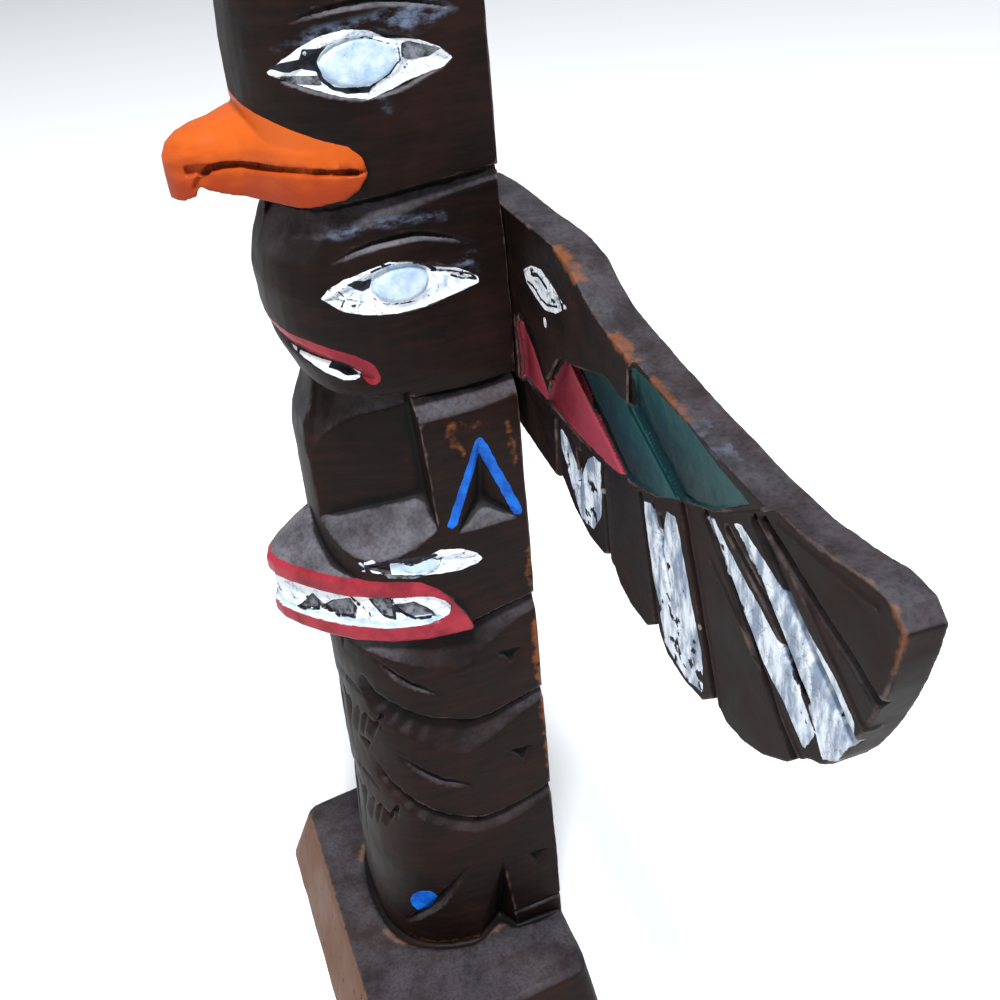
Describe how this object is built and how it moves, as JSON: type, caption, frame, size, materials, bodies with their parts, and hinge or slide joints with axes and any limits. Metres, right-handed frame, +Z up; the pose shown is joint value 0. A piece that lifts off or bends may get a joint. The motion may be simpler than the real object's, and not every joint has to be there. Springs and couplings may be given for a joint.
{
  "type": "totem pole",
  "caption": "Hand-carved wooden tabletop totem pole: stacked animal heads and folded arms on a block base, with an outspread wing on each side.",
  "frame": {"origin": "on the underside of the base block, straight below the middle of the pole", "axes": "+Z up the pole, -Y towards the beak and snouts, +X towards the figures' left wing"},
  "size_m": [0.37, 0.0833, 0.319],
  "materials": {
    "pole_wood": "dark brown stain, worn and dusty, with hand-painted details",
    "wing_wood": "dark brown stain, worn and dusty, with hand-painted feathers"
  },
  "bodies": {
    "root": {"pole": "pole_wood", "wing_left": "wing_wood", "wing_right": "wing_wood"}
  },
  "joints": []
}
